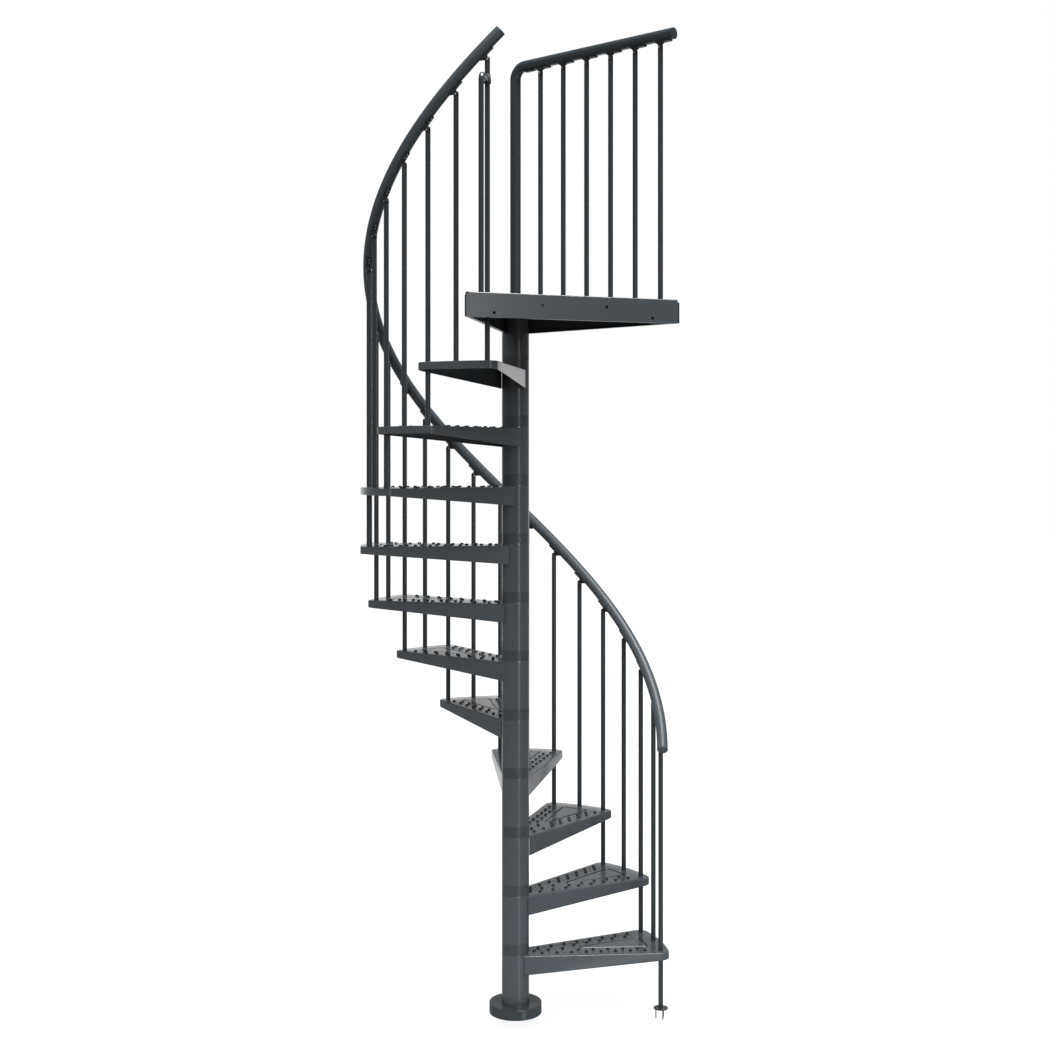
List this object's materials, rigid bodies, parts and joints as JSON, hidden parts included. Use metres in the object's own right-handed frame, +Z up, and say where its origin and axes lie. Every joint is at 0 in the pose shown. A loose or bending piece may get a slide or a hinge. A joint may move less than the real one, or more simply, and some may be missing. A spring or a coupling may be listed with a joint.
{
  "type": "spiral staircase",
  "caption": "Spiral staircase of folded steel treads on a centre pole, with slim balusters, a helical handrail and a railed landing.",
  "frame": {"origin": "middle of the pole's base plate, on the floor", "axes": "+Z up along the pole; -Y out of the landing's open edge, which bolts against the floor structure; the stair rises anticlockwise seen from above"},
  "size_m": [1.22, 1.2755, 3.784],
  "materials": {
    "steel": "satin powder coat",
    "plastic": "matte",
    "zinc": "zinc plated"
  },
  "bodies": {
    "root": {"base_plate": "steel", "base_cover": "steel", "pole_core": "steel", "pole_tubes": "steel", "pole_rings": "plastic", "pole_cap": "plastic", "tread_01": "steel", "tread_02": "steel", "tread_03": "steel", "tread_04": "steel", "tread_05": "steel", "tread_06": "steel", "tread_07": "steel", "tread_08": "steel", "tread_09": "steel", "tread_10": "steel", "tread_11": "steel", "landing": "steel", "corner_balusters": "steel", "middle_balusters": "steel", "landing_balusters": "steel", "baluster_pivots": "plastic", "pivot_screws": "zinc", "handrail": "steel", "handrail_caps": "plastic", "rail_brackets": "plastic", "landing_rail": "steel", "landing_rail_cap": "plastic", "landing_brackets": "plastic", "gap_tube": "steel", "gap_clamp": "zinc", "floor_foot": "steel", "foot_screws": "zinc"}
  },
  "joints": []
}
